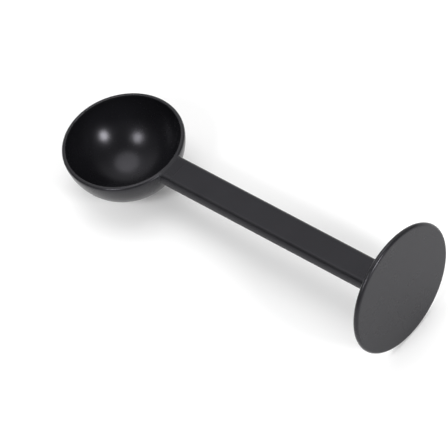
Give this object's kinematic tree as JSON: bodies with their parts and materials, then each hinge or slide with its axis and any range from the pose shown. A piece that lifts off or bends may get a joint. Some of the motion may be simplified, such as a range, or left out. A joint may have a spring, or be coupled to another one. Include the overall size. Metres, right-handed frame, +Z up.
{
  "type": "coffee scoop with tamper",
  "caption": "Two-ended coffee tool in black plastic: a round measuring bowl, a flat bar handle and a flat round tamping disc set square across the handle's far end.",
  "frame": {"origin": "on the table under the middle of the tool: centre of the bounding box in X and Y, at its lowest level in Z", "axes": "+Z up with the tool lying at rest, bowl open side up; +X along the handle from the bowl to the disc; +Y across the handle. The handle climbs 1.7 degrees towards +X, because the disc is wider than the bowl is deep"},
  "size_m": [0.1534, 0.05, 0.05],
  "materials": {
    "black_plastic": "satin black moulded plastic, semi-gloss inside the bowl"
  },
  "bodies": {
    "root": {"scoop_bowl": "black_plastic", "handle": "black_plastic", "tamper_disc": "black_plastic"}
  },
  "joints": []
}
